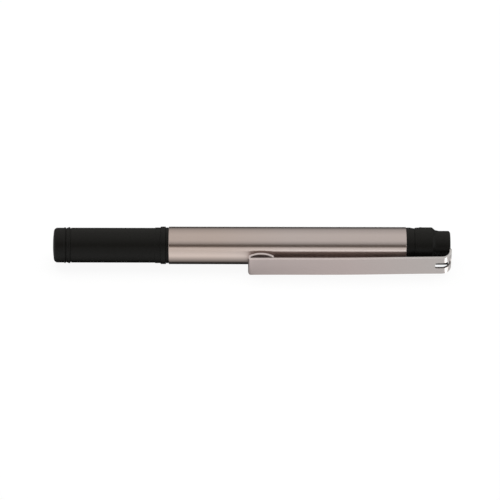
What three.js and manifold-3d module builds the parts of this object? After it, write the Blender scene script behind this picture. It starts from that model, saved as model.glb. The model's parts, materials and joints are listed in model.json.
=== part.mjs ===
// A capped ballpoint pen, modelled in millimetres and lying on its side on a table.
// The black cap points to -X, the black tail to +X, and the steel clip hangs over the -Y side
// with its lower edge on the table. Each separate piece of the pen is one named mesh.
import * as THREE from 'three';
import { mergeVertices } from 'three/addons/utils/BufferGeometryUtils.js';
import Module from 'manifold-3d';

const wasm = await Module();
wasm.setup();

// Lengths along the pen, from the cap's closed end to the tail.
const capLength = 30.0;
const shoulderLength = 0.65; // the dark ring between the cap and the barrel
const barrelLength = 63.2;
const tailLength = 11.7; // all that stands out of the barrel's back end
const seam = 0.05; // what two flat or round faces that seat on each other keep between them
const clipProud = 0.25; // how far the clip's bend stands past the tail's end face

// Steel barrel.
const barrelRadius = 5.0;
const barrelWall = 0.4;
const barrelLip = 0.35; // rounded front edge
const barrelBackLip = 0.12;

// Cap. Its collar is as wide as the barrel.
const capCollarRadius = barrelRadius;
const capCollarHeight = 0.365;
const capRadius = capCollarRadius - capCollarHeight;
const capWall = 0.7;
const capCollarWidth = 1.45;
const capStepHeight = 0.11; // low step in front of the collar
const capStepWidth = 1.35;
const capMouthWall = 0.65; // wall of the collar at the mouth
const capMouthDepth = 3.3;
const capEndLength = 3.6; // the end plug that shows
const capEndWall = 1.5;
const capEndDome = 0.28;
const capEndCorner = 1.0;
const capEndFlatRadius = 2.0;
const capEndSpigot = 4.2;
const capEndBore = 3.1;
const linerWall = 0.6; // soft cup that guards the point
const linerFloor = 0.5;
const linerLength = 5.6;
const beadHeight = 0.16; // the two fine rings either side of the cap's seam
const endBeadWidth = 0.48;
const endBeadEdge = 0.22; // from the seam to the end plug's bead
const capBeadWidth = 0.7;
const capBeadEdge = 0.3; // from the seam to the cap's bead

// Front section: a threaded core, a grip sleeve on it and a steel nose cone.
const shoulderRadius = barrelRadius - 0.25;
const landLength = 3.2; // smooth ring under the cap's mouth
const capClearance = 0.12; // all round, between the cap's mouth and the land inside it
const gripClearance = 0.195; // all round, between the cap's bore and the grip
const gripRadius = capRadius - capWall - gripClearance;
const gripWall = 0.85;
const gripGrooveDepth = 0.28;
const gripGrooveWidth = 0.7;
const gripGroovePitch = 1.75;
const gripGrooves = 7;
const noseLength = 6.6;
const noseTipRadius = 1.4;
const noseSpigot = 3.6;
const noseSpigotWall = 0.55;
const noseBore = 1.3;
const noseLipBore = 1.1; // the hole that the point comes out of
const noseLip = 1.2;
const frictionRingThickness = 0.66; // rubber ring that grips the cap
const frictionRingFromShoulder = 1.9;

// Screw joint between the front section and the barrel.
const threadPitch = 1.5;
const threadTurns = 3;
const threadHeight = 0.34;
const threadBase = 0.62;
const threadCrest = 0.3;
const threadClearance = 0.1;
const insertWall = 0.39;
const threadRoot = barrelRadius - barrelWall - seam - insertWall;
const coreSpigotRadius = threadRoot - threadClearance - threadHeight;
const coreSpigotLength = 9.0;
const threadStart = 2.2; // from the shoulder's back face to the first ridge
const insertLength = 9.6;
const insertSetBack = 0.6; // from the barrel's front edge
const sealThickness = 0.52; // rubber ring behind the shoulder

// Refill.
const refillRadius = 1.5;
const refillWall = 0.2;
const pointToCapEnd = 1.2; // space left in the cap in front of the ball
const pointShow = 2.5; // how far the point stands out of the nose cone
const ballRadius = 0.35;
const ballProud = 0.24; // how far the ball stands out of its rim, which is closed past its middle to hold it
const ballClearance = 0.03;
const pointLength = 7.4;
const pointRimRadius = 0.43;
const pointRadius = 1.12;
const pointConeLength = 4.6;
const pointBore = 0.32;
const holderLength = 7.4;
const holderShoulder = 1.0;
const holderBore = 0.5;
const holderPointDepth = 2.6; // how far the point's tail sits in its holder
const holderTubeDepth = 2.4; // how far the holder sits in the tube
const refillClearance = 0.14;
const refillTail = 8.45; // from the end of the refill's tube to the tail's end face
const endPlugFlange = 0.8;
const endPlugDepth = 3.0;
const endPlugVent = 0.35;
const inkLength = 62.0;
const inkClearance = 0.06;
const followerLength = 3.2; // grease that follows the ink

// Tail: a bushing pressed in the barrel, and a plug pressed in the bushing.
const bushingRadius = barrelRadius - 0.12;
const bushingNeckRadius = barrelRadius - 0.31;
const bushingLength = 2.2;
const bushingRimWidth = 0.95;
const bushingDepth = 6.0;
const bushingWall = 1.2;
const plugWaistRadius = barrelRadius - 0.22;
const plugRadius = barrelRadius - 0.06;
const plugBeadRadius = barrelRadius - 0.02;
const plugBeadStart = 1.05;
const plugBeadWidth = 0.9;
const plugBodyLength = 4.6; // to where it starts to narrow
const plugTaperLength = 1.85;
const plugEndRadius = barrelRadius - 1.0;
const plugEndCorner = 0.65;
const plugSpigotLength = 6.6;
const plugBoreRadius = 2.05;
const plugBoreDepth = 10.4; // from the spigot's front end
const finWidth = 1.2; // black rib that shows through the clip's slot
const finLength = 3.0;
const finToClip = 0.25;

// Cushion spring behind the refill.
const springWire = 0.32;
const springRadius = 1.45; // to the middle of the wire
const springCurls = 3;
const springEndGap = 0.3;

// Clip: one bent steel strip.
const clipThickness = 0.6;
const clipWidth = 6.7;
const clipLength = 54.0;
const clipGapAtBend = 1.22; // from the barrel's surface to the strip
const clipGapAtTip = 1.78;
const clipSeatGap = 0.25; // from the barrel to the sprung pad at the tip
const clipBendRadius = 2.3; // to the middle of the sheet
const clipHemRadius = 0.5;
const clipPadRadius = 5.75;
const clipPadEndGap = 0.1;
const clipCorner = 0.45;
const clipSlotWidth = 2.1;
const clipSlotCorner = 0.42;
const clipSlotLength = 4.4; // along the blade, from the bend's outer face
const clipSlotOnLug = 2.3; // along the lug, from the blade's outer face
const hookWidth = 3.0;
const hookRadius = 0.5; // bend between the lug and the hook
const hookOffset = 1.9; // from the pen's axis to the middle of the hook
const hookLength = 4.3;
const lugShoulder = 3.5; // from the pen's axis to the shoulders beside the hook
const hookClearance = 0.3;

// How finely round shapes are cut.
const roundSteps = 36;
const smallSteps = 24;
const pointSteps = 16;
const threadSteps = 18;
const bendSteps = 7;

// Stations along the axis, worked out from the lengths above.
const barrelStart = capLength + shoulderLength + 2 * seam;
const barrelEnd = barrelStart + barrelLength;
const bodyLength = barrelEnd + tailLength;
const overallLength = bodyLength + clipProud;
const shoulderStart = capLength + seam;
const shoulderEnd = barrelStart - seam;
const bushingEnd = barrelEnd + bushingLength;
const pointTip = capEndWall + pointToCapEnd;
const noseStart = pointTip + pointShow;
const sleeveStart = noseStart + noseLength + seam;
const landStart = shoulderStart - landLength;
const refillEnd = bodyLength - refillTail;

// Materials.
const blackPlastic = new THREE.MeshStandardMaterial({ color: 0x1d1c1a, roughness: 0.38, metalness: 0 });
const softPlastic = new THREE.MeshStandardMaterial({ color: 0xd9d6cc, roughness: 0.6, metalness: 0 });
const grease = new THREE.MeshStandardMaterial({ color: 0xcfc8a6, roughness: 0.25, metalness: 0 });
const gripRubber = new THREE.MeshStandardMaterial({ color: 0x191919, roughness: 0.7, metalness: 0 });
const brushedSteel = new THREE.MeshStandardMaterial({ color: 0xb7aaa3, roughness: 0.28, metalness: 1 });
const clipSteel = new THREE.MeshStandardMaterial({ color: 0xbcb1b0, roughness: 0.34, metalness: 1 });
const brass = new THREE.MeshStandardMaterial({ color: 0xc9a558, roughness: 0.3, metalness: 1 });
const nickelSilver = new THREE.MeshStandardMaterial({ color: 0xc9c4b8, roughness: 0.22, metalness: 1 });
const whitePlastic = new THREE.MeshStandardMaterial({ color: 0xe6e4dd, roughness: 0.45, metalness: 0 });
const inkBlack = new THREE.MeshStandardMaterial({ color: 0x0b0b12, roughness: 0.2, metalness: 0 });
const carbide = new THREE.MeshStandardMaterial({ color: 0x8e9096, roughness: 0.12, metalness: 1 });
const springSteel = new THREE.MeshStandardMaterial({ color: 0x9c9c9c, roughness: 0.3, metalness: 1 });

// A closed mesh as a solid that can be joined and cut.
function solidOf(geometry) {
  const bare = geometry.index ? geometry.toNonIndexed() : geometry.clone();
  bare.deleteAttribute('normal');
  bare.deleteAttribute('uv');
  const merged = mergeVertices(bare, 1e-4);
  return new wasm.Manifold(new wasm.Mesh({
    numProp: 3,
    vertProperties: merged.attributes.position.array,
    triVerts: new Uint32Array(merged.index.array),
  }));
}

// The solid back as a geometry.
function geometryOf(solid) {
  const mesh = solid.getMesh();
  const geometry = new THREE.BufferGeometry();
  geometry.setAttribute('position', new THREE.BufferAttribute(new Float32Array(mesh.vertProperties), 3));
  geometry.setIndex(new THREE.BufferAttribute(new Uint32Array(mesh.triVerts), 1));
  geometry.computeVertexNormals();
  return geometry;
}

// Twice the signed area of a closed outline of [along, radius] points.
function turning(outline) {
  return outline.reduce((sum, [a, r], i) => {
    const [b, q] = outline[(i + 1) % outline.length];
    return sum + a * q - b * r;
  }, 0);
}

// Turns a closed outline of [along, radius] points round the pen's axis, which is X.
// A flat facet faces straight down, so that the pen lies on a face and not on an edge.
function turned(outline, steps) {
  const ordered = turning(outline) < 0 ? outline : [...outline].reverse();
  const touchesAxis = ordered.some(([, r]) => r === 0);
  let points = ordered;
  if (touchesAxis) {
    const n = ordered.length;
    const first = ordered.findIndex(([, r], i) => r === 0 && ordered[(i + 1) % n][1] > 0);
    points = ordered.map((_, i) => ordered[(first + i) % n]);
  } else {
    points = [...ordered, ordered[0]];
  }
  const profile = points.map(([along, radius]) => new THREE.Vector2(radius, along));
  const lathe = new THREE.LatheGeometry(profile, steps, Math.PI / steps);
  lathe.rotateZ(-Math.PI / 2);
  return lathe;
}

// Points of an arc from one angle to another, as [along, radius] pairs.
function arc(centreAlong, centreRadius, radius, from, to, steps) {
  return Array.from({ length: steps + 1 }, (_, i) => {
    const angle = from + (to - from) * i / steps;
    return [centreAlong + radius * Math.cos(angle), centreRadius + radius * Math.sin(angle)];
  });
}

// A low round bead on an outer surface, listed from its front flank to its back flank.
function bead(start, width, base, height) {
  const crest = width * 0.4;
  const flank = (width - crest) / 2;
  return [[start, base], [start + flank, base + height], [start + flank + crest, base + height], [start + width, base]];
}

// A screw ridge: a trapezium swept along a helix. It stands from the root radius towards the crest radius.
function screwRidge(start, rootRadius, crestRadius, turns, pitch) {
  const sink = rootRadius < crestRadius ? -0.15 : 0.15;
  const section = [
    [-threadBase / 2, rootRadius + sink],
    [threadBase / 2, rootRadius + sink],
    [threadCrest / 2, crestRadius],
    [-threadCrest / 2, crestRadius],
  ];
  if (turning(section) < 0) section.reverse();
  const count = Math.round(turns * threadSteps);
  const positions = [];
  const index = [];
  for (let i = 0; i <= count; i += 1) {
    const angle = 2 * Math.PI * i / threadSteps;
    const run = start + pitch * i / threadSteps;
    for (const [along, radius] of section) {
      positions.push(run + along, radius * Math.cos(angle), radius * Math.sin(angle));
    }
  }
  const sides = section.length;
  for (let i = 0; i < count; i += 1) {
    for (let j = 0; j < sides; j += 1) {
      const a = i * sides + j;
      const b = i * sides + (j + 1) % sides;
      index.push(a, b, b + sides, a, b + sides, a + sides);
    }
  }
  const last = count * sides;
  index.push(0, 2, 1, 0, 3, 2, last, last + 1, last + 2, last, last + 2, last + 3);
  const geometry = new THREE.BufferGeometry();
  geometry.setAttribute('position', new THREE.BufferAttribute(new Float32Array(positions), 3));
  geometry.setIndex(index);
  return solidOf(geometry);
}

function capEndPlug() {
  const beadStart = capEndLength - endBeadEdge - endBeadWidth;
  const cornerCentre = capRadius - capEndCorner;
  const spigotRadius = capRadius - capWall - seam;
  return turned([
    [0, 0],
    [0, capEndFlatRadius],
    ...arc(capEndDome + capEndCorner, cornerCentre, capEndCorner, Math.PI, Math.PI / 2, 4),
    ...bead(beadStart, endBeadWidth, capRadius, beadHeight * 0.8),
    [capEndLength - seam, capRadius],
    [capEndLength - seam, spigotRadius],
    [capEndLength + capEndSpigot, spigotRadius],
    [capEndLength + capEndSpigot, capEndBore],
    [capEndWall, capEndBore],
    [capEndWall, 0],
  ], roundSteps);
}

function capShell() {
  const collarStart = capLength - capCollarWidth;
  const stepStart = collarStart - capStepWidth;
  const bore = capRadius - capWall;
  const mouthBore = capCollarRadius - capMouthWall;
  const beadStart = capEndLength + capBeadEdge;
  const edge = 0.12;
  return turned([
    [capEndLength, bore],
    [capEndLength, capRadius],
    ...bead(beadStart, capBeadWidth, capRadius, beadHeight),
    [stepStart - edge, capRadius],
    [stepStart, capRadius + capStepHeight],
    [collarStart, capRadius + capStepHeight],
    [collarStart + edge, capCollarRadius],
    [capLength - edge, capCollarRadius],
    [capLength, capCollarRadius - edge],
    [capLength, mouthBore],
    [capLength - capMouthDepth, mouthBore],
    [capLength - capMouthDepth - (mouthBore - bore), bore],
  ], roundSteps);
}

// A soft cup in the cap's closed end, with a floor in front of the ball.
function capLiner() {
  const outer = capEndBore - seam;
  const start = capEndWall + seam;
  const inner = outer - linerWall;
  return turned([
    [start, 0],
    [start, outer],
    [start + linerLength, outer],
    [start + linerLength, outer - linerWall * 0.4],
    [start + linerLength - linerWall, inner],
    [start + linerFloor, inner],
    [start + linerFloor, 0],
  ], smallSteps);
}

// The core that the grip sleeve, the nose cone and the rubber ring sit on, with the screw behind its shoulder.
function sectionCore() {
  const landRadius = capCollarRadius - capMouthWall - capClearance;
  const coreRadius = gripRadius - gripWall - seam;
  const noseSeatBore = coreRadius - noseSpigotWall + seam;
  const grooveMiddle = shoulderStart - frictionRingFromShoulder;
  const grooveHalf = frictionRingThickness / 2 + seam;
  const grooveRadius = landRadius + 0.04 - frictionRingThickness - seam;
  const bore = refillRadius + refillClearance;
  const body = solidOf(turned([
    [sleeveStart, noseSeatBore],
    [sleeveStart, coreRadius],
    [landStart, coreRadius],
    [landStart, landRadius - 0.15],
    [landStart + 0.15, landRadius],
    [grooveMiddle - grooveHalf, landRadius],
    [grooveMiddle - grooveHalf, grooveRadius],
    [grooveMiddle + grooveHalf, grooveRadius],
    [grooveMiddle + grooveHalf, landRadius],
    [shoulderStart, landRadius],
    [shoulderStart, shoulderRadius],
    [shoulderEnd, shoulderRadius],
    [shoulderEnd, coreSpigotRadius],
    [shoulderEnd + coreSpigotLength - 0.4, coreSpigotRadius],
    [shoulderEnd + coreSpigotLength, coreSpigotRadius - 0.4],
    [shoulderEnd + coreSpigotLength, bore],
    [sleeveStart + noseSpigot + seam, bore],
    [sleeveStart + noseSpigot + seam, noseSeatBore],
  ], roundSteps));
  const crest = coreSpigotRadius + threadHeight;
  const ridge = screwRidge(shoulderEnd + threadStart, coreSpigotRadius, crest, threadTurns, threadPitch);
  return geometryOf(body.add(ridge));
}

// The threaded bush in the barrel's front end. Its ridge runs half a pitch behind the core's.
function barrelInsert() {
  const outer = barrelRadius - barrelWall - seam;
  const start = barrelStart + insertSetBack;
  const tube = solidOf(turned([
    [start, threadRoot],
    [start, outer],
    [start + insertLength, outer],
    [start + insertLength, threadRoot],
  ], roundSteps));
  const crest = coreSpigotRadius + threadClearance;
  const ridgeStart = shoulderEnd + threadStart + threadPitch / 2;
  return geometryOf(tube.add(screwRidge(ridgeStart, threadRoot, crest, threadTurns, threadPitch)));
}

function gripSleeve() {
  const end = landStart - seam;
  const firstGroove = (sleeveStart + end - (gripGrooves - 1) * gripGroovePitch - gripGrooveWidth) / 2;
  const floor = gripRadius - gripGrooveDepth;
  const grooves = Array.from({ length: gripGrooves }, (_, i) => firstGroove + i * gripGroovePitch);
  return turned([
    [sleeveStart, gripRadius - gripWall],
    [sleeveStart, gripRadius - 0.2],
    [sleeveStart + 0.2, gripRadius],
    ...grooves.flatMap((g) => [
      [g, gripRadius],
      [g + 0.12, floor],
      [g + gripGrooveWidth - 0.12, floor],
      [g + gripGrooveWidth, gripRadius],
    ]),
    [end, gripRadius],
    [end, gripRadius - gripWall],
  ], smallSteps);
}

function noseCone() {
  const start = noseStart;
  const base = start + noseLength;
  const baseRadius = gripRadius - 0.12;
  const spigotRadius = gripRadius - gripWall - noseSpigotWall - seam;
  return turned([
    [start, noseLipBore],
    [start, noseTipRadius - 0.15],
    [start + 0.15, noseTipRadius],
    [start + noseLength * 0.55, (noseTipRadius + baseRadius) / 2 + 0.3],
    [base - 0.9, baseRadius],
    [base, baseRadius],
    [base, spigotRadius],
    [base + noseSpigot, spigotRadius],
    [base + noseSpigot, refillRadius + refillClearance],
    [base - 1.5, refillRadius + refillClearance],
    [base - 1.5, noseBore],
    [start + noseLip, noseBore],
    [start + noseLip, noseLipBore],
  ], smallSteps);
}

// A rubber ring of round section.
function rubberRing(middle, outerRadius, thickness) {
  const half = thickness / 2;
  return turned(arc(middle, outerRadius - half, half, 0, 2 * Math.PI, 8).slice(0, 8), roundSteps);
}

function frictionRing() {
  const landRadius = capCollarRadius - capMouthWall - capClearance;
  return rubberRing(shoulderStart - frictionRingFromShoulder, landRadius + 0.04, frictionRingThickness);
}

function threadSeal() {
  const middle = shoulderEnd + seam + sealThickness / 2;
  return rubberRing(middle, coreSpigotRadius + seam + sealThickness, sealThickness);
}

function barrelTube() {
  const bore = barrelRadius - barrelWall;
  return turned([
    [barrelStart, bore],
    [barrelStart, barrelRadius - barrelLip],
    [barrelStart + barrelLip * 0.3, barrelRadius - barrelLip * 0.3],
    [barrelStart + barrelLip, barrelRadius],
    [barrelEnd - barrelBackLip, barrelRadius],
    [barrelEnd, barrelRadius - barrelBackLip],
    [barrelEnd, bore],
  ], roundSteps);
}

function rearBushing() {
  const fit = barrelRadius - barrelWall - seam;
  const bore = fit - bushingWall;
  return turned([
    [barrelEnd - bushingDepth, bore],
    [barrelEnd - bushingDepth, fit - 0.2],
    [barrelEnd - bushingDepth + 0.2, fit],
    [barrelEnd + seam, fit],
    [barrelEnd + seam, bushingRadius],
    [barrelEnd + bushingRimWidth, bushingRadius],
    [bushingEnd - 0.4, bushingNeckRadius],
    [bushingEnd, bushingNeckRadius],
    [bushingEnd, bore],
  ], roundSteps);
}

// Where the hook and the lug of the clip lie along the axis.
const lugOuter = overallLength;
const lugMiddle = lugOuter - clipThickness / 2;
const lugInner = lugOuter - clipThickness;

// The tail plug in the clip's frame: X along the pen, Y away from the axis towards the clip.
function tailPlug() {
  const start = bushingEnd + seam;
  const spigotRadius = barrelRadius - barrelWall - seam - bushingWall - 0.08;
  const spigotStart = start - plugSpigotLength;
  const taperStart = start + plugBodyLength;
  const taperEnd = taperStart + plugTaperLength;
  const drop = plugRadius - plugEndRadius;
  const body = solidOf(turned([
    [spigotStart, plugBoreRadius],
    [spigotStart, spigotRadius - 0.3],
    [spigotStart + 0.3, spigotRadius],
    [start, spigotRadius],
    [start, plugWaistRadius],
    [start + 0.35, plugWaistRadius + 0.08],
    [start + plugBeadStart, plugWaistRadius + 0.1],
    [start + plugBeadStart + 0.3, plugBeadRadius],
    [start + plugBeadStart + plugBeadWidth - 0.2, plugBeadRadius],
    [start + plugBeadStart + plugBeadWidth, plugRadius],
    [taperStart, plugRadius],
    [taperStart + plugTaperLength * 0.22, plugRadius - drop * 0.32],
    [taperStart + plugTaperLength * 0.45, plugRadius - drop * 0.78],
    [taperEnd, plugEndRadius],
    ...arc(bodyLength - plugEndCorner, plugEndRadius - plugEndCorner, plugEndCorner, Math.PI / 2, 0, 3),
    [bodyLength, 0],
    [spigotStart + plugBoreDepth, 0],
    [spigotStart + plugBoreDepth, plugBoreRadius],
  ], roundSteps));
  const finTop = barrelRadius + clipGapAtBend - finToClip;
  const finEnd = lugInner - hookClearance;
  const fin = box(finEnd - finLength, finEnd, plugEndRadius - 1.2, finTop, finWidth);
  const recessFloor = lugInner - hookClearance;
  const past = overallLength + 1;
  const lugRecess = box(recessFloor, past, lugShoulder - hookClearance, plugRadius + 4, clipWidth + 2);
  const hookLow = hookOffset - clipThickness / 2 - hookClearance;
  const slotWidth = hookWidth + 2 * hookClearance;
  const hookChannel = box(recessFloor, past, hookLow, lugShoulder, slotWidth);
  const pocketStart = lugOuter - hookLength - hookClearance;
  const pocketHigh = hookOffset + clipThickness / 2 + hookClearance + hookRadius;
  const hookPocket = box(pocketStart, past, hookLow, pocketHigh, slotWidth);
  return geometryOf(body.add(fin).subtract(lugRecess).subtract(hookChannel).subtract(hookPocket));
}

// A box between two stations and two distances from the axis, centred across the clip's width.
function box(from, to, low, high, width) {
  const geometry = new THREE.BoxGeometry(to - from, high - low, width);
  geometry.translate((from + to) / 2, (low + high) / 2, 0);
  return solidOf(geometry);
}

// The strip's splay, and the angles that its sprung pad turns through.
const bladeRun = clipLength - clipBendRadius - clipThickness;
const clipSplay = Math.atan((clipGapAtTip - clipGapAtBend) / bladeRun);
const padDepth = clipGapAtTip - clipSeatGap;
const padStartAngle = Math.acos((clipPadRadius + clipHemRadius - padDepth) / (clipPadRadius - clipHemRadius));
const padEndAngle = Math.acos(
  (clipThickness / 2 + clipPadEndGap - padDepth + clipPadRadius) / (clipPadRadius - clipThickness / 2),
);

// The middle line of the bent strip, walked from the hook's end to the pad's end.
// Each point holds its place along the pen, its distance from the axis and the strip's heading.
function stripMiddle() {
  const points = [];
  const at = { x: lugOuter - hookLength, y: hookOffset, heading: 0 };
  const note = () => points.push([at.x, at.y, at.heading]);
  const straight = (run) => {
    at.x += run * Math.cos(at.heading);
    at.y += run * Math.sin(at.heading);
    note();
  };
  const bend = (radius, angle, steps) => {
    for (let i = 0; i < steps; i += 1) {
      const turn = angle / steps;
      const chord = 2 * radius * Math.sin(turn / 2);
      at.x += chord * Math.cos(at.heading + turn / 2);
      at.y += chord * Math.sin(at.heading + turn / 2);
      at.heading += turn;
      note();
    }
  };
  note();
  straight(lugMiddle - hookRadius - at.x);
  bend(hookRadius, Math.PI / 2, 4);
  const bladeMiddleAtBend = barrelRadius + clipGapAtBend + clipThickness / 2;
  straight(bladeMiddleAtBend - clipBendRadius - at.y);
  bend(clipBendRadius, Math.PI / 2 - clipSplay, bendSteps);
  const tipOuter = lugOuter - clipLength;
  const hemOuter = clipHemRadius + clipThickness / 2;
  straight((at.x - (tipOuter + hemOuter)) / Math.cos(clipSplay));
  bend(clipHemRadius, Math.PI - padStartAngle, bendSteps);
  bend(clipPadRadius, padStartAngle + padEndAngle, 2 * bendSteps);
  return points;
}

// The strip's closed side outline, half a sheet either side of its middle line.
function stripOutline() {
  const side = (half) => stripMiddle().map(([x, y, heading]) => (
    new THREE.Vector2(x - half * Math.sin(heading), y + half * Math.cos(heading))
  ));
  return [...side(-clipThickness / 2), ...side(clipThickness / 2).reverse()];
}

function clip() {
  const strip = new THREE.ExtrudeGeometry(new THREE.Shape(stripOutline()), {
    depth: clipWidth, bevelEnabled: false, steps: 1,
  });
  strip.translate(0, 0, -clipWidth / 2);
  const tip = lugOuter - clipLength;
  const far = lugOuter + 1;
  const half = clipWidth / 2;
  const plan = new THREE.Shape();
  plan.moveTo(far, -half - 1);
  plan.lineTo(far, half + 1);
  plan.lineTo(tip + clipLength / 4, half + 1);
  plan.lineTo(tip + clipLength / 4, half);
  plan.lineTo(tip + clipCorner, half);
  plan.absarc(tip + clipCorner, half - clipCorner, clipCorner, Math.PI / 2, Math.PI, false);
  plan.absarc(tip + clipCorner, -half + clipCorner, clipCorner, Math.PI, 3 * Math.PI / 2, false);
  plan.lineTo(tip + clipLength / 4, -half);
  plan.lineTo(tip + clipLength / 4, -half - 1);
  const planSolid = solidOf(standing(plan, 0, 12, 3));
  const slotPlan = new THREE.Shape();
  const slotHalf = clipSlotWidth / 2;
  const cornerX = lugOuter - clipSlotLength + clipSlotCorner;
  const cornerZ = slotHalf - clipSlotCorner;
  slotPlan.moveTo(far, -slotHalf);
  slotPlan.lineTo(far, slotHalf);
  slotPlan.absarc(cornerX, cornerZ, clipSlotCorner, Math.PI / 2, Math.PI, false);
  slotPlan.absarc(cornerX, -cornerZ, clipSlotCorner, Math.PI, 3 * Math.PI / 2, false);
  const slotEnd = barrelRadius + clipGapAtBend + clipThickness - clipSlotOnLug;
  const slot = solidOf(standing(slotPlan, slotEnd, 12, 4));
  const besideHook = (clipWidth - hookWidth) / 2 + 1;
  const shoulderCut = (side) => {
    const block = new THREE.BoxGeometry(hookLength + 2, lugShoulder + 2, besideHook);
    block.translate(
      lugOuter - hookLength / 2, (lugShoulder - 2) / 2, side * (hookWidth / 2 + besideHook / 2),
    );
    return solidOf(block);
  };
  const bent = solidOf(strip).intersect(planSolid).subtract(slot);
  return geometryOf(bent.subtract(shoulderCut(1)).subtract(shoulderCut(-1)));
}

// A plan shape, drawn along the pen and across the clip, stood up between two distances from the axis.
function standing(shape, low, high, curveSteps) {
  const geometry = new THREE.ExtrudeGeometry(shape, {
    depth: high - low, bevelEnabled: false, steps: 1, curveSegments: curveSteps,
  });
  geometry.rotateX(-Math.PI / 2);
  geometry.translate(0, low, 0);
  return geometry;
}

// Refill, from its ball to its back end.
const holderStart = pointTip + ballProud + pointLength - holderPointDepth;
const tubeStart = holderStart + holderLength - holderTubeDepth;

function refillTube() {
  return turned([
    [tubeStart, refillRadius - refillWall],
    [tubeStart, refillRadius],
    [refillEnd, refillRadius],
    [refillEnd, refillRadius - refillWall],
  ], smallSteps);
}

function tipHolder() {
  const fit = refillRadius - refillWall - seam;
  const socket = pointRadius - 0.22;
  return turned([
    [holderStart, socket + seam],
    [holderStart, pointRadius],
    [tubeStart - holderShoulder, pointRadius],
    [tubeStart - holderShoulder, refillRadius - 0.1],
    [tubeStart - seam, refillRadius],
    [tubeStart - seam, fit],
    [holderStart + holderLength, fit],
    [holderStart + holderLength, holderBore],
    [holderStart + holderPointDepth + seam, holderBore],
    [holderStart + holderPointDepth + seam, socket + seam],
  ], pointSteps);
}

// The point: a cone whose rim holds the ball in a round socket, with the ink's bore behind it.
function refillPoint() {
  const rim = pointTip + ballProud;
  const socketRadius = ballRadius + ballClearance + 0.02;
  const ballCentre = pointTip + ballRadius;
  const rimAngle = Math.acos((rim - ballCentre) / socketRadius);
  const backAngle = Math.asin(pointBore * 0.8 / socketRadius);
  const tail = rim + pointLength;
  return turned([
    ...arc(ballCentre, 0, socketRadius, rimAngle, backAngle, 4),
    [ballCentre + socketRadius + 0.3, pointBore],
    [tail, pointBore],
    [tail, pointRadius - 0.22],
    [holderStart - seam, pointRadius - 0.22],
    [holderStart - seam, pointRadius],
    [rim + pointConeLength, pointRadius],
    [rim + 0.25, pointRimRadius + 0.09],
    [rim, pointRimRadius],
  ], pointSteps);
}

function pointBall() {
  const centre = pointTip + ballRadius;
  return turned(arc(centre, 0, ballRadius, Math.PI, 0, 8).map(([a, r]) => [a, Math.max(r, 0)])
    .map(([a, r], i, all) => (i === 0 || i === all.length - 1 ? [a, 0] : [a, r])), pointSteps);
}

// A plain rod on the axis.
function rod(start, length, radius) {
  return turned([[start, 0], [start, radius], [start + length, radius], [start + length, 0]], smallSteps);
}

const inkStart = holderStart + holderLength + seam;
const inkRadius = refillRadius - refillWall - inkClearance;

function inkColumn() {
  return rod(inkStart, inkLength, inkRadius);
}

function inkFollower() {
  return rod(inkStart + inkLength + seam, followerLength, inkRadius);
}

// The vented plug that closes the refill's tube.
function refillEndPlug() {
  const fit = refillRadius - refillWall - seam;
  return turned([
    [refillEnd - endPlugDepth, endPlugVent],
    [refillEnd - endPlugDepth, fit - 0.2],
    [refillEnd - endPlugDepth + 0.3, fit],
    [refillEnd + seam, fit],
    [refillEnd + seam, refillRadius],
    [refillEnd + seam + endPlugFlange, refillRadius],
    [refillEnd + seam + endPlugFlange, endPlugVent],
  ], smallSteps);
}

// The helical spring between the refill's back end and the bottom of the plug's bore.
function cushionSpring() {
  const boreEnd = bushingEnd + seam - plugSpigotLength + plugBoreDepth;
  const first = refillEnd + seam + endPlugFlange + springEndGap + springWire / 2;
  const last = boreEnd - springEndGap / 2 - springWire / 2;
  const stepsPerCurl = 10;
  const sides = 5;
  const count = springCurls * stepsPerCurl;
  const positions = [];
  const index = [];
  const rise = (last - first) / (2 * Math.PI * springCurls);
  for (let i = 0; i <= count; i += 1) {
    const angle = 2 * Math.PI * i / stepsPerCurl;
    const along = new THREE.Vector3(rise, -springRadius * Math.sin(angle), springRadius * Math.cos(angle)).normalize();
    const out = new THREE.Vector3(0, Math.cos(angle), Math.sin(angle));
    const across = new THREE.Vector3().crossVectors(along, out);
    const middle = new THREE.Vector3(first + rise * angle, springRadius * Math.cos(angle), springRadius * Math.sin(angle));
    for (let j = 0; j < sides; j += 1) {
      const turn = 2 * Math.PI * j / sides;
      const p = middle.clone()
        .addScaledVector(out, springWire / 2 * Math.cos(turn))
        .addScaledVector(across, springWire / 2 * Math.sin(turn));
      positions.push(p.x, p.y, p.z);
    }
  }
  for (let i = 0; i < count; i += 1) {
    for (let j = 0; j < sides; j += 1) {
      const a = i * sides + j;
      const b = i * sides + (j + 1) % sides;
      index.push(a, b, b + sides, a, b + sides, a + sides);
    }
  }
  for (let j = 1; j < sides - 1; j += 1) {
    index.push(0, j + 1, j);
    index.push(count * sides, count * sides + j, count * sides + j + 1);
  }
  const geometry = new THREE.BufferGeometry();
  geometry.setAttribute('position', new THREE.BufferAttribute(new Float32Array(positions), 3));
  geometry.setIndex(index);
  geometry.computeVertexNormals();
  return geometry;
}

function piece(name, geometry, material) {
  const mesh = new THREE.Mesh(geometry, material);
  mesh.name = name;
  return mesh;
}

// The clip leans down from the horizontal until its lower edge meets the table that the barrel lies on.
const axisHeight = barrelRadius * Math.cos(Math.PI / roundSteps);
const clipReach = Math.max(...stripOutline().map((p) => p.y));
const halfWidth = clipWidth / 2;
const clipLean = Math.asin(axisHeight / Math.hypot(clipReach, halfWidth)) - Math.atan2(halfWidth, clipReach);
const clipSide = clipReach * Math.cos(clipLean) + halfWidth * Math.sin(clipLean);

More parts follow.
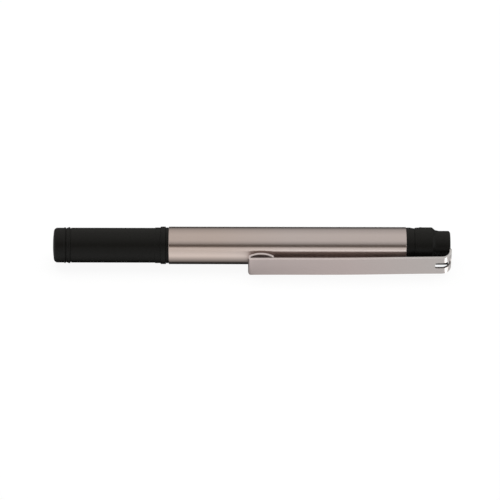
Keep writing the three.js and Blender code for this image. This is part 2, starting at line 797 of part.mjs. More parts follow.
const pen = new THREE.Group();
const straightFrame = new THREE.Group();
straightFrame.add(
  piece('cap_shell', capShell(), blackPlastic),
  piece('cap_end_plug', capEndPlug(), blackPlastic),
  piece('cap_liner', capLiner(), softPlastic),
  piece('section_core', sectionCore(), blackPlastic),
  piece('grip_sleeve', gripSleeve(), gripRubber),
  piece('nose_cone', noseCone(), brushedSteel),
  piece('cap_friction_ring', frictionRing(), gripRubber),
  piece('thread_seal_ring', threadSeal(), gripRubber),
  piece('barrel_tube', barrelTube(), brushedSteel),
  piece('barrel_insert', barrelInsert(), brass),
  piece('rear_bushing', rearBushing(), blackPlastic),
  piece('refill_tube', refillTube(), brass),
  piece('tip_holder', tipHolder(), whitePlastic),
  piece('refill_point', refillPoint(), nickelSilver),
  piece('point_ball', pointBall(), carbide),
  piece('ink_column', inkColumn(), inkBlack),
  piece('ink_follower', inkFollower(), grease),
  piece('refill_end_plug', refillEndPlug(), softPlastic),
  piece('cushion_spring', cushionSpring(), springSteel),
);
const clipFrame = new THREE.Group();
clipFrame.rotation.x = Math.PI + clipLean;
clipFrame.add(
  piece('tail_plug', tailPlug(), blackPlastic),
  piece('clip', clip(), clipSteel),
);
pen.add(straightFrame, clipFrame);

// The origin is under the middle of the pen, on the table.
pen.position.set(-overallLength / 2, (clipSide - axisHeight) / 2, axisHeight);

export default pen;
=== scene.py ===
"""A compact capped ballpoint pen on a white table: every piece finished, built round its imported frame."""
import json
import math

import bmesh
import bpy
import numpy as np
from mathutils import Matrix, Vector


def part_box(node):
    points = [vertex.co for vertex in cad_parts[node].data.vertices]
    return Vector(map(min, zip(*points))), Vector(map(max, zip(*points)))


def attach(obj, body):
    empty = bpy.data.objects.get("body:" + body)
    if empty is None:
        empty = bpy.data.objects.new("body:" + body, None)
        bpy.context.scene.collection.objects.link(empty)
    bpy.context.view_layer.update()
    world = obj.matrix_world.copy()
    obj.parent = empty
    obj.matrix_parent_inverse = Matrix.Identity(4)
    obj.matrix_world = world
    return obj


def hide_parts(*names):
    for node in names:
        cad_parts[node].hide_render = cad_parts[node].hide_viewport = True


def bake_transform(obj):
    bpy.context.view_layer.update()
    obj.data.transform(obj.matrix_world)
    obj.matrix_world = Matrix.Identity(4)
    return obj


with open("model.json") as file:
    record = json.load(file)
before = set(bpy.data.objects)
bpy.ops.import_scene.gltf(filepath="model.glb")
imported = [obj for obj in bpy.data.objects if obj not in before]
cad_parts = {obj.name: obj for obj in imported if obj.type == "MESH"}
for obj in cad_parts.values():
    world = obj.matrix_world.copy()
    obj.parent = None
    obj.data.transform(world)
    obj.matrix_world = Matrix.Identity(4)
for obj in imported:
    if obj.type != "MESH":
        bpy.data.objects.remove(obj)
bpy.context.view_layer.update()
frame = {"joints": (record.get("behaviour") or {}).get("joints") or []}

MM = 0.001  # sizes below are in millimetres, and meshes are made in metres

# Where the pen lies, read from the frame. Stations run along the pen from the cap's closed end.
CAP_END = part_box("cap_end_plug")[0].x
BARREL_LOW, BARREL_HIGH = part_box("barrel_tube")
AXIS = (BARREL_LOW + BARREL_HIGH) / 2
FACETS = 36  # the frame's round pieces have this many flats, one of them facing down
BARREL_R = (BARREL_HIGH.z - BARREL_LOW.z) / 2 / math.cos(math.pi / FACETS) / MM
HINGE = next(joint for joint in frame["joints"] if joint["name"] == "clip_flex")
ACROSS = -Vector(HINGE["axis"])  # across the clip's width, towards the table
OUTWARD = ACROSS.cross(Vector((1, 0, 0)))  # from the pen's axis to the clip

TO_START = Matrix.Translation((CAP_END, AXIS.y, AXIS.z))
PEN_PLACE = TO_START @ Matrix.Scale(MM, 4)
CLIP_PLACE = TO_START @ Matrix((
    (MM, 0, 0, 0),
    (0, MM * OUTWARD.y, MM * ACROSS.y, 0),
    (0, MM * OUTWARD.z, MM * ACROSS.z, 0),
    (0, 0, 0, 1),
))

ROUND = 160  # faces round a turned piece
SEAM = 0.05  # what two seated faces keep between them
HOLD = 0.06  # a point this close to a fillet keeps the run beside it flat
CREASE = math.radians(38)  # a sharper edge than this is a crease


def span(node):
    """The first and the last station of a node along the pen."""
    low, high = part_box(node)
    return (low.x - CAP_END) / MM, (high.x - CAP_END) / MM


def in_scene(name, data):
    """A new object in the scene, with that mesh, lamp or camera."""
    piece = bpy.data.objects.new(name, data)
    bpy.context.scene.collection.objects.link(piece)
    return piece


# Meshes


def filleted(corners, closed):
    """An outline of [along, radius] points from (along, radius, fillet) corners.

    Each corner becomes an arc that touches both its sides: its ends lie fillet / tan(half the corner's
    angle) from the corner, and its centre fillet / sin(half that angle) along the line that halves it.
    """
    points = np.array([corner[:2] for corner in corners], float)
    count = len(points)
    pieces = []
    for i, (here, corner) in enumerate(zip(points, corners)):
        fillet = corner[2] if len(corner) > 2 else 0
        if fillet == 0 or (not closed and i in (0, count - 1)):
            pieces.append((here[None], False))
            continue
        back, on = points[i - 1] - here, points[(i + 1) % count] - here
        sides = np.linalg.norm(back), np.linalg.norm(on)
        back, on = back / sides[0], on / sides[1]
        half = math.acos(np.clip(back @ on, -1, 1)) / 2
        reach = min(fillet / math.tan(half), 0.48 * min(sides))
        fillet = reach * math.tan(half)
        middle = here + (back + on) / np.linalg.norm(back + on) * fillet / math.sin(half)
        first, last = here + back * reach - middle, here + on * reach - middle
        start = math.atan2(first[1], first[0])
        turn = (math.atan2(last[1], last[0]) - start + math.pi) % (2 * math.pi) - math.pi
        steps = max(3, math.ceil(abs(turn) / math.radians(12)))
        angles = start + turn * np.linspace(0, 1, steps + 1)
        pieces.append((middle + fillet * np.stack([np.cos(angles), np.sin(angles)], 1), True))
    outline = []
    for i, (piece, arc) in enumerate(pieces):
        outline.append(piece)
        if not closed and i == count - 1:
            break
        onward, next_arc = pieces[(i + 1) % count]
        run = onward[0] - piece[-1]
        length = np.linalg.norm(run)
        if length > 4 * HOLD and (arc or next_arc):
            outline.append(piece[-1][None] + run / length * HOLD)
            outline.append(onward[0][None] - run / length * HOLD)
    return np.concatenate(outline)


def surface(
    name, grid, place=PEN_PLACE, rows_close=False, columns_close=False, measure=None, keep=None, ends=(),
):
    """A mesh from a grid of points. Four neighbours make a face, and points that fall together are welded.

    measure holds the distances along the rows and along the columns, which become the UV map in
    millimetres. keep says which faces stay, and ends lists loops of grid numbers that a flat face closes.
    """
    rows, columns = grid.shape[:2]
    index = np.arange(rows * columns).reshape(rows, columns)
    if rows_close:
        index = np.vstack([index, index[:1]])
    if columns_close:
        index = np.hstack([index, index[:, :1]])
    near, far = slice(None, -1), slice(1, None)
    corners = (near, near), (near, far), (far, far), (far, near)
    faces = np.stack([index[corner] for corner in corners], -1)
    keep = np.ones(faces.shape[:2], bool) if keep is None else keep
    mesh = bpy.data.meshes.new(name)
    mesh.from_pydata(grid.reshape(-1, 3).tolist(), [], faces[keep].tolist() + [list(end) for end in ends])
    if measure is not None:
        flat = np.stack(np.meshgrid(*measure, indexing="ij"), -1)
        uv = np.stack([flat[corner] for corner in corners], -2)[keep].reshape(-1, 2)
        values = np.zeros((len(mesh.loops), 2), np.float32)
        values[:len(uv)] = uv
        mesh.uv_layers.new(name="UVMap").data.foreach_set("uv", values.ravel())
    mesh.transform(place)
    return welded(name, mesh)


def welded(name, *meshes):
    """One object of some meshes, with doubles welded, faces turned outwards and creases marked."""
    work = bmesh.new()
    for mesh in meshes:
        work.from_mesh(mesh)
    bmesh.ops.remove_doubles(work, verts=work.verts, dist=1e-4 * MM)
    bmesh.ops.recalc_face_normals(work, faces=work.faces)
    for edge in work.edges:
        edge.smooth = edge.calc_face_angle(math.pi) < CREASE
    work.to_mesh(meshes[0])
    work.free()
    meshes[0].polygons.foreach_set("use_smooth", np.ones(len(meshes[0].polygons), bool))
    return in_scene(name, meshes[0])


def turned(name, corners, closed=True, swell=None, around=ROUND):
    """An outline turned round the pen's axis: (along, r) becomes (along, r cos angle, r sin angle).

    swell(along, r, angle) is added to the radius.
    """
    outline = filleted(corners, closed)
    angle = 2 * math.pi * np.arange(around) / around
    along = np.repeat(outline[:, :1], around, 1)
    radius = np.repeat(outline[:, 1:], around, 1)
    if swell is not None:
        radius = radius + swell(along, radius, angle[None])
    grid = np.stack([along, radius * np.cos(angle), radius * np.sin(angle)], -1)
    walk = np.concatenate([outline, outline[:1]]) if closed else outline
    run = np.concatenate([[0], np.cumsum(np.linalg.norm(np.diff(walk, axis=0), axis=1))])
    turn = 2 * math.pi * BARREL_R * np.arange(around + 1) / around
    return surface(name, grid, rows_close=closed, columns_close=True, measure=(run, turn))


def wound(name, middle, wire, around=14):
    """A round wire along a path: at each point a circle of that diameter, square to the path.

    Its first direction points away from the pen's axis, and its second is square to that and the path.
    """
    along = np.gradient(middle, axis=0)
    along /= np.linalg.norm(along, axis=1)[:, None]
    out = middle * [0, 1, 1]
    out /= np.linalg.norm(out, axis=1)[:, None]
    side = np.cross(along, out)
    turn = 2 * math.pi * np.arange(around) / around
    ring = out[:, None] * np.cos(turn)[None, :, None] + side[:, None] * np.sin(turn)[None, :, None]
    grid = middle[:, None] + ring * wire / 2
    last = (len(middle) - 1) * around
    return surface(name, grid, columns_close=True, ends=(range(around), range(last, last + around)))


# Colours and finishes

QUARTER_TURN = 0.25  # lays fine lines along the UV map's first direction


def linear(code):
    """A hex sRGB colour as linear red, green, blue and alpha."""
    parts = [int(code[i:i + 2], 16) / 255 for i in (1, 3, 5)]
    return (*[p / 12.92 if p <= 0.04045 else ((p + 0.055) / 1.055) ** 2.4 for p in parts], 1)


def add(tree, kind, values=None, **settings):
    """Adds a node. settings are its own options, and values fill its sockets: a socket there is linked."""
    node = tree.nodes.new(kind)
    for option, value in settings.items():
        setattr(node, option, value)
    for socket, value in (values or {}).items():
        if isinstance(value, bpy.types.NodeSocket):
            tree.links.new(value, node.inputs[socket])
        else:
            node.inputs[socket].default_value = value
    return node


def worked_out(tree, operation, *values):
    """What an operation makes of values or of sockets."""
    return add(tree, "ShaderNodeMath", dict(enumerate(values)), operation=operation).outputs[0]


def blank(name):
    """A material with no nodes yet, and its tree."""
    material = bpy.data.materials.new(name)
    material.use_nodes = True
    material.node_tree.nodes.clear()
    return material, material.node_tree


def finish(name, **values):
    """A material with one shader. Values that are the same all over are set on the shader's own sockets."""
    material, tree = blank(name)
    shader = add(tree, "ShaderNodeBsdfPrincipled", {key.replace("_", " "): v for key, v in values.items()})
    add(tree, "ShaderNodeOutputMaterial", {"Surface": shader.outputs[0]})
    return material, tree, shader


def on_piece(tree):
    """Where a point lies on its piece, in metres."""
    return add(tree, "ShaderNodeTexCoord").outputs["Object"]


def lined(tree, shader):
    """Lays a shader's fine lines square to the first direction of the UV map."""
    tangent = add(tree, "ShaderNodeTangent", direction_type="UV_MAP", uv_map="UVMap")
    tree.links.new(tangent.outputs[0], shader.inputs["Tangent"])


def grain(tree, shader, size, colours, roughness, depth, where=None):
    """Gives a shader its grain. Noise of that size in millimetres along each axis moves the colour between
    two, and the roughness between two, and raises the surface by up to that depth in millimetres."""
    where = where or on_piece(tree)
    fitted = add(tree, "ShaderNodeMapping", {"Vector": where, "Scale": [1 / (s * MM) for s in size]})
    noise = add(tree, "ShaderNodeTexNoise", {"Vector": fitted.outputs[0], "Scale": 1.0, "Detail": 3.0})
    height = noise.outputs["Fac"]
    first, second = map(linear, colours)
    tone = add(tree, "ShaderNodeMix", {0: height, 6: first, 7: second}, data_type="RGBA")
    gloss = add(tree, "ShaderNodeMapRange", {
        "Value": height, "From Min": 0.3, "From Max": 0.7, "To Min": roughness[0], "To Max": roughness[1],
    })
    bump = add(tree, "ShaderNodeBump", {"Height": height, "Distance": depth * MM})
    tree.links.new(tone.outputs[2], shader.inputs["Base Color"])
    tree.links.new(gloss.outputs[0], shader.inputs["Roughness"])
    tree.links.new(bump.outputs[0], shader.inputs["Normal"])


def recolour(tree, shader, share, code, blend="MIX"):
    """Mixes a colour into the shader's own, by a share."""
    own = shader.inputs["Base Color"].links[0].from_socket
    tone = add(tree, "ShaderNodeMix", {
        0: share, 6: own, 7: linear(code),
    }, data_type="RGBA", blend_type=blend)
    tree.links.new(tone.outputs[2], shader.inputs["Base Color"])


def tinted(tree, shader, start, end, code):
    """Tints a shader's colour. The tint comes in between two places along the pen, in millimetres."""
    along = add(tree, "ShaderNodeSeparateXYZ", {"Vector": on_piece(tree)}).outputs["X"]
    share = add(tree, "ShaderNodeMapRange", {"Value": along, "From Min": start * MM, "From Max": end * MM})
    recolour(tree, shader, share.outputs[0], code, "MULTIPLY")


def satin_steel():
    """Stainless steel tube, finished on a belt while it turned. The fine lines round the pen blur what it
    mirrors along the pen but keep it sharp round the pen, so light lies on it in long straight bands."""
    material, tree, shader = finish("satin_stainless_tube", Metallic=1.0, Anisotropic=0.96)
    # Real belt lines are 0.02 mm apart, too fine to show: these are as coarse as a few together.
    grain(tree, shader, (0.1, 6, 6), ("#c8bcb7", "#ccc0bb"), (0.278, 0.294), 0.00008)
    # The tube is a shade warmer towards the cap.
    tinted(tree, shader, 10, -10, "#fdf8f3")
    lined(tree, shader)
    return material


def clip_steel():
    """Stainless strip, cold rolled and brushed along its length before it was bent. The lines blur what the
    face mirrors across its width, so the blade is one even grey, and its sheared edges catch the light."""
    material, tree, shader = finish(
        "brushed_stainless_strip", Metallic=1.0, Anisotropic=0.75, Anisotropic_Rotation=QUARTER_TURN)
    flat = add(tree, "ShaderNodeUVMap", uv_map="UVMap").outputs[0]
    real = add(tree, "ShaderNodeVectorMath", {0: flat, "Scale": MM}, operation="SCALE").outputs[0]
    # Brushed lines are about 0.03 mm apart and some millimetres long: drawn coarser, so that a few show.
    grain(tree, shader, (5, 0.1, 1), ("#b5a8a5", "#c2b5b2"), (0.29, 0.37), 0.0003, where=real)
    # Painted highlight: the sheared edges and their rims are coloured brighter than the face, for the light
    # that
    #     they catch. The UV map measures round the strip's section from its middle.
    across = add(tree, "ShaderNodeSeparateXYZ", {"Vector": flat}).outputs["Y"]
    aside = worked_out(tree, "ABSOLUTE", across)
    half_edge = (SHEET - 2 * CLIP_RIM + math.pi * CLIP_RIM) / 2
    painted_edge_highlight = worked_out(tree, "COMPARE", aside, CLIP_HALF - CLIP_RIM + half_edge, half_edge)
    recolour(tree, shader, painted_edge_highlight, "#ded2cf")
    # The strip is a shade cooler towards its bend.
    tinted(tree, shader, 25, 52, "#f5ffff")
    lined(tree, shader)
    return material


def black_abs():
    """ABS, injection moulded in a lightly blasted tool: a satin black skin with a very fine, soft grain."""
    material, tree, shader = finish("moulded_black_abs", IOR=1.53, Specular_IOR_Level=0.11)
    # The blasted grain is 0.08 mm across, which only shows close by.
    grain(tree, shader, (0.16, 0.16, 0.16), ("#10100e", "#161513"), (0.33, 0.43), 0.0025)
    return material


def black_rubber():
    """Nitrile rubber, compression moulded: deep black, matt, with a faint dusty bloom."""
    material, tree, shader = finish("moulded_nitrile_rubber", IOR=1.52, Specular_IOR_Level=0.3)
    grain(tree, shader, (0.2, 0.2, 0.2), ("#131313", "#1c1c1b"), (0.62, 0.78), 0.003)
    return material


def pale_plastic(name, colours, gloss, milkiness):
    """Polyolefin without pigment, injection moulded: milky and waxy, with light soaking a little way in."""
    material, tree, shader = finish(name, IOR=1.5, Subsurface_Weight=milkiness, Subsurface_Scale=0.4 * MM)
    grain(tree, shader, (0.7, 0.7, 0.7), colours, gloss, 0.002)
    return material


def turned_metal(name, colours, gloss, pitch):
    """Metal turned on a lathe: fine rings round the pen's axis, at the feed that the tool left."""
    material, tree, shader = finish(name, Metallic=1.0, Anisotropic=0.4)
    grain(tree, shader, (pitch, 3, 3), colours, gloss, 0.0008)
    lined(tree, shader)
    return material


def plain_metal(name, colours, gloss):
    """Drawn wire or a lapped ball: bright metal with only a faint unevenness."""
    material, tree, shader = finish(name, Metallic=1.0)
    grain(tree, shader, (0.3, 0.3, 0.3), colours, gloss, 0.0003)
    return material


def thick_fluid(name, colours, ior, coat):
    """Paste ink or clear grease: smooth and wet."""
    material, tree, shader = finish(name, IOR=ior, Coat_Weight=coat, Coat_Roughness=0.05)
    grain(tree, shader, (1.5, 1.5, 1.5), colours, (0.1, 0.2), 0.002)
    return material


# Pieces of the cap

CAP_START, CAP_MOUTH = span("cap_shell")
PLUG_END = span("cap_end_plug")[1]
CAP_R = BARREL_R - 0.365
CAP_WALL = 0.7
MOUTH_BORE = BARREL_R - 0.65
LINER_BORE = 3.1  # the hollow of the closed end, which the soft cup sits in
SEAM_DEPTH = 0.14


def ring_bead(start, width, base, height):
    """Corners of a low round ring on an outer surface."""
    flank = width * 0.3
    return [
        (start, base, 0.06),
        (start + flank, base + height, 0.1),
        (start + width - flank, base + height, 0.1),
        (start + width, base, 0.06),
    ]


def cap_end_plug():
    """The cap's closed end: a domed face with a round corner, a fine ring, and a spigot in the tube."""
    spigot, floor = CAP_R - CAP_WALL - SEAM, 1.5
    return turned("cap_end", [
        (0, 0),
        (0, 2.0, 5),
        (0.28, CAP_R, 1.0),
        *ring_bead(CAP_START - 0.7, 0.48, CAP_R, 0.128),
        (CAP_START - 0.2, CAP_R - SEAM_DEPTH, 0.05),
        (CAP_START - SEAM, CAP_R - SEAM_DEPTH, 0.05),
        (CAP_START - SEAM, spigot, 0.05),
        (PLUG_END, spigot, 0.2),
        (PLUG_END, LINER_BORE, 0.15),
        (floor, LINER_BORE, 0.5),
        (floor, 0),
    ], closed=False)


def cap_tube():
    """The cap's tube, with a fine ring behind its seam, a low step, and a wider collar round its mouth."""
    bore = CAP_R - CAP_WALL
    collar, step, raised = CAP_MOUTH - 1.45, CAP_MOUTH - 2.8, CAP_R + 0.11
    counterbore = CAP_MOUTH - 3.3
    return turned("cap_tube", [
        (CAP_START, bore, 0.05),
        (CAP_START, CAP_R, 0.05),
        *ring_bead(CAP_START + 0.3, 0.7, CAP_R, 0.16),
        (CAP_START + 1, CAP_R - SEAM_DEPTH, 0.05),
        (CAP_START + 1.2, CAP_R - SEAM_DEPTH, 0.05),
        (CAP_START + 1.25, CAP_R, 0.05),
        (step - 0.1, CAP_R, 0.06),
        (step, raised, 0.06),
        (collar, raised, 0.04),
        (collar + 0.1, BARREL_R, 0.08),
        (CAP_MOUTH, BARREL_R, 0.14),
        (CAP_MOUTH, MOUTH_BORE, 0.1),
        (counterbore, MOUTH_BORE, 0.1),
        (counterbore - MOUTH_BORE + bore, bore, 0.1),
    ])


def cap_liner():
    """The soft cup that guards the point."""
    start, end = span("cap_liner")
    outer = LINER_BORE - SEAM
    return turned("point_cup", [
        (start, 0),
        (start, outer, 0.4),
        (end, outer, 0.12),
        (end - 0.1, outer - 0.25, 0.08),
        (end - 0.6, outer - 0.6, 0.3),
        (start + 0.5, outer - 0.6, 0.5),
        (start + 0.5, 0),
    ], closed=False)


# Pieces of the front section

SHOULDER_R = BARREL_R - 0.25
LAND_R = MOUTH_BORE - 0.12
GRIP_R = CAP_R - CAP_WALL - 0.195
GRIP_WALL = 0.85
NOSE_SEAT_R = GRIP_R - GRIP_WALL - 0.55
GRIP_START, GRIP_END = span("grip_sleeve")
CORE_START, CORE_END = span("section_core")
SHOULDER_START, SHOULDER_END = CAP_MOUTH + SEAM, span("barrel_tube")[0] - SEAM
INSERT_START, INSERT_END = span("barrel_insert")
REFILL_BORE = 1.64
THREAD_PITCH = 1.5
THREAD_TURNS = 3
THREAD_HEIGHT = 0.34
THREAD_START = SHOULDER_END + 2.2
BARREL_BORE = BARREL_R - 0.4
INSERT_BORE = BARREL_BORE - SEAM - 0.39
CORE_SPIGOT_R = INSERT_BORE - 0.1 - THREAD_HEIGHT


def thread(start, height, wall):
    """The swell of a screw ridge that climbs one pitch a turn.

    With t = (along - start) / pitch - angle / one turn, the ridge's middle is where t is whole. Its height
    falls off from a flat crest down two even flanks, and fades in over the first and last eighth of a turn.
    It stands only on the surface whose radius is wall.
    """
    def swell(along, radius, angle):
        turns = (along - start) / THREAD_PITCH - angle / (2 * math.pi)
        count = np.round(turns)
        off = np.abs(turns - count) * THREAD_PITCH
        flank = np.clip((0.31 - off) / 0.16, 0, 1)
        walked = count + angle / (2 * math.pi)
        fade = np.clip(np.minimum(walked, THREAD_TURNS - walked) * 8, 0, 1)
        on_wall = np.abs(radius - wall) < 0.01
        return height * flank * flank * (3 - 2 * flank) * fade * on_wall
    return swell


def fine_run(start, end, radius, step=0.07):
    """Corners close together along a straight run, so that a thread can be raised on it."""
    stations = np.linspace(start, end, round(abs(end - start) / step) + 1)
    return [(station, radius) for station in stations]


def section_core():
    """The front section's core: a seat for the nose cone, the grip's seat, the smooth ring under the cap's
    mouth with the groove for the rubber ring, the shoulder between cap and barrel, and the screw."""
    seat = GRIP_R - GRIP_WALL - SEAM
    groove = sum(span("cap_friction_ring")) / 2
    ring_r, proud = 0.33, 0.04
    half, floor = ring_r + SEAM, LAND_R + proud - 2 * ring_r - SEAM
    nose_depth = span("nose_cone")[1] + SEAM
    return turned("threaded_core", [
        (CORE_START, NOSE_SEAT_R, 0.08),
        (CORE_START, seat, 0.08),
        (GRIP_END + SEAM, seat, 0.08),
        (GRIP_END + SEAM, LAND_R, 0.2),
        (groove - half, LAND_R, 0.06),
        (groove - half, floor, 0.06),
        (groove + half, floor, 0.06),
        (groove + half, LAND_R, 0.06),
        (SHOULDER_START, LAND_R, 0.1),
        (SHOULDER_START, SHOULDER_R, 0.06),
        (SHOULDER_END, SHOULDER_R, 0.06),
        (SHOULDER_END, CORE_SPIGOT_R, 0.12),
        *fine_run(SHOULDER_END + 1.4, CORE_END - 1.6, CORE_SPIGOT_R),
        (CORE_END, CORE_SPIGOT_R, 0.4),
        (CORE_END, REFILL_BORE, 0.15),
        (nose_depth, REFILL_BORE, 0.1),
        (nose_depth, NOSE_SEAT_R, 0.1),
    ], swell=thread(THREAD_START, THREAD_HEIGHT, CORE_SPIGOT_R))


def grip_sleeve():
    """The rubber grip: a sleeve with seven round grooves."""
    pitch, width, depth, count = 1.75, 0.7, 0.28, 7
    first = (GRIP_START + GRIP_END - (count - 1) * pitch - width) / 2
    corners = [(GRIP_START, GRIP_R - GRIP_WALL, 0.08), (GRIP_START, GRIP_R, 0.22)]
    for start in first + pitch * np.arange(count):
        corners += [
            (start, GRIP_R, 0.12),
            (start + 0.12, GRIP_R - depth, 0.14),
            (start + width - 0.12, GRIP_R - depth, 0.14),
            (start + width, GRIP_R, 0.12),
        ]
    corners += [(GRIP_END, GRIP_R, 0.12), (GRIP_END, GRIP_R - GRIP_WALL, 0.08)]
    return turned("ribbed_grip", corners)


def nose_cone():
    """The steel cone: a bulging flank from the base down to a small lip, and a spigot in the core."""
    start, end = span("nose_cone")
    base = GRIP_START - SEAM
    base_r, spigot = GRIP_R - 0.12, NOSE_SEAT_R - SEAM
    mouth, hollow, lip, bulge = 1.1, 1.3, 1.4, 0.3
    return turned("steel_nose", [
        (start, mouth, 0.05),
        (start, lip, 0.12),
        (start + 3.63, (lip + base_r) / 2 + bulge, 9),
        (base - 0.9, base_r, 2),
        (base, base_r, 0.08),
        (base, spigot, 0.08),
        (end, spigot, 0.15),
        (end, REFILL_BORE, 0.1),
        (base - 1.5, REFILL_BORE, 0.1),
        (base - 1.5, hollow, 0.1),
        (start + 1.2, hollow, 0.08),
        (start + 1.2, mouth, 0.05),
    ])


def rubber_ring(name, node):
    """A rubber ring: a circle of radius r, (middle + r cos a, centre - r sin a), turned round the axis."""
    first, last = span(node)
    half = (last - first) / 2
    outer = (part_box(node)[1].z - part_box(node)[0].z) / 2 / MM / math.cos(math.pi / FACETS)
    middle, centre = (first + last) / 2, outer - half
    angles = 2 * math.pi * np.arange(24) / 24
    circle = np.stack([middle + half * np.cos(angles), centre - half * np.sin(angles)], 1)
    return turned(name, circle.tolist())


# Pieces of the barrel and the tail

BARREL_START, BARREL_END = span("barrel_tube")
BUSHING_START, BUSHING_END = span("rear_bushing")
TAIL_FRONT, TAIL_END = span("tail_plug")


def barrel_tube():
    """The steel tube, with a rounded front edge and a broken back edge."""
    return turned("barrel", [
        (BARREL_START, BARREL_BORE, 0.05),
        (BARREL_START, BARREL_R, 0.34),
        (BARREL_END, BARREL_R, 0.22),
        (BARREL_END, BARREL_BORE, 0.05),
    ], around=224)


def barrel_insert():
    """The threaded brass bush. Its ridge points inwards, half a pitch behind the core's."""
    outer = BARREL_BORE - SEAM
    return turned("threaded_bush", [
        (INSERT_START, outer, 0.1),
        (INSERT_END, outer, 0.1),
        (INSERT_END, INSERT_BORE, 0.1),
        *fine_run(INSERT_END - 1.2, INSERT_START + 0.8, INSERT_BORE),
        (INSERT_START, INSERT_BORE, 0.1),
    ], swell=thread(THREAD_START + THREAD_PITCH / 2, -THREAD_HEIGHT, INSERT_BORE))


def rear_bushing():
    """The black ring behind the barrel: a rim, an easing neck, and a long spigot in the tube."""
    fit = BARREL_BORE - SEAM
    bore = fit - 1.2
    rim, rim_r, neck_r = BARREL_END + SEAM, BARREL_R - 0.12, BARREL_R - 0.31
    return turned("rear_ring", [
        (BUSHING_START, bore, 0.1),
        (BUSHING_START, fit, 0.2),
        (rim, fit),
        (rim, rim_r, 0.06),
        (rim + 0.9, rim_r, 0.25),
        (BUSHING_END - 0.4, neck_r, 0.3),
        (BUSHING_END, neck_r, 0.07),
        (BUSHING_END, bore, 0.06),
    ])


def block(x, y, width, fillet=0.0):
    """A box in the clip's frame, from x[0] to x[1] along the pen and y[0] to y[1] out from its axis."""
    work = bmesh.new()
    bmesh.ops.create_cube(work, size=1)
    middle = Matrix.Translation(((x[0] + x[1]) / 2, (y[0] + y[1]) / 2, 0))
    stretch = Matrix.Diagonal((x[1] - x[0], y[1] - y[0], width, 1))
    bmesh.ops.transform(work, matrix=middle @ stretch, verts=work.verts)
    if fillet:
        bmesh.ops.bevel(work, geom=work.edges, offset=fillet, segments=4, profile=0.5, affect="EDGES")
    bmesh.ops.transform(work, matrix=CLIP_PLACE, verts=work.verts)
    bmesh.ops.recalc_face_normals(work, faces=work.faces)
    mesh = bpy.data.meshes.new("block")
    work.to_mesh(mesh)
    work.free()
    return mesh


def cut_or_joined(piece, mesh, operation):
    """The piece with a mesh cut out of it or joined to it, as its new mesh."""
    tool = in_scene("tool", mesh)
    modifier = piece.modifiers.new("shape", "BOOLEAN")
    modifier.object, modifier.operation, modifier.solver = tool, operation, "EXACT"
    shaped = bpy.data.meshes.new_from_object(piece.evaluated_get(bpy.context.evaluated_depsgraph_get()))
    piece.modifiers.clear()
    piece.data = shaped
    bpy.data.objects.remove(tool)


def tail_plug():
    """The black tail: waist, ring, body, a soft S down to the narrower end, and the seat cut for the clip,
    with the rib that fills the clip's slot."""
    start = BUSHING_END + SEAM
    body = BARREL_R - 0.06
    end_r = BARREL_R - 1.0
    spigot, ring = 3.27, BARREL_R - 0.02
    bore, bore_end = 2.05, TAIL_FRONT + 10.4
    piece = turned("tail", [
        (TAIL_FRONT, bore, 0.1),
        (TAIL_FRONT, spigot, 0.3),
        (start, spigot, 0.05),
        (start, BARREL_R - 0.22, 0.06),
        (start + 0.35, BARREL_R - 0.14, 0.2),
        (start + 1.05, BARREL_R - 0.12, 0.12),
        (start + 1.35, ring, 0.15),
        (start + 1.75, ring, 0.15),
        (start + 1.95, body, 0.15),
        (start + 4.6, body, 0.6),
        (start + 5.43, end_r + 0.21, 0.7),
        (start + 6.45, end_r, 2.2),
        (TAIL_END, end_r, 0.65),
        (TAIL_END, 0),
        (bore_end, 0),
        (bore_end, bore, 0.3),
    ], closed=False)
    # The rib, the flat seat of the lug, and the pocket of the hook: its way in, and its length.
    low, pocket = HOOK_OUT - 0.6, 3.6
    seat_width, pocket_depth = 8.7, 1.7
    past, outside = CLIP_END + 1, 9
    cut_or_joined(piece, block((FIN_START, SEAT_FACE), (end_r - 1.2, FIN_TOP), FIN_WIDTH, 0.12), "UNION")
    cut_or_joined(piece, block((SEAT_FACE, past), (LUG_SHOULDER - 0.3, outside), seat_width), "DIFFERENCE")
    cut_or_joined(piece, block((SEAT_FACE, past), (low, LUG_SHOULDER), pocket), "DIFFERENCE")
    cut_or_joined(piece, block((HOOK_START - 0.3, past), (low, low + pocket_depth), pocket), "DIFFERENCE")
    return piece


# The clip, in its own frame: x along the pen, y out from the pen's axis

CLIP_START, CLIP_END = span("clip")
SHEET = 0.6
CLIP_HALF = 3.35  # half the strip's width
CLIP_RIM = 0.11  # how far its edges are rounded
HOOK_HALF = 1.5
LUG_MIDDLE = CLIP_END - SHEET / 2
BEND_R, HEM_R, PAD_R, HOOK_R = 2.3, 0.5, 5.75, 0.5  # all to the middle of the sheet
BLADE_GAP, TIP_GAP, PAD_GAP = 1.22, 1.78, 0.1  # from the barrel: at the bend, at the tip, at the pad
BLADE_BOW = 0.17  # how far the blade bows out in its middle
BEND_FOOT = BARREL_R + BLADE_GAP + SHEET / 2 - BEND_R  # where the lug starts to bend into the blade
LUG_SHOULDER = 3.5
SLOT_HALF = 1.05
SLOT_CORNER = 0.42
SLOT_TIP = CLIP_END - 4.4
SLOT_FOOT = BARREL_R + BLADE_GAP + SHEET - 2.3
HOOK_START, HOOK_OUT = CLIP_END - 4.3, 1.9
FIN_START, FIN_WIDTH = CLIP_END - 4.3, 1.2
FIN_TOP = BARREL_R + BLADE_GAP - 0.25  # the rib stops this far short of the clip's sheet
SEAT_FACE = CLIP_END - SHEET - 0.3  # where the tail is cut back for the lug


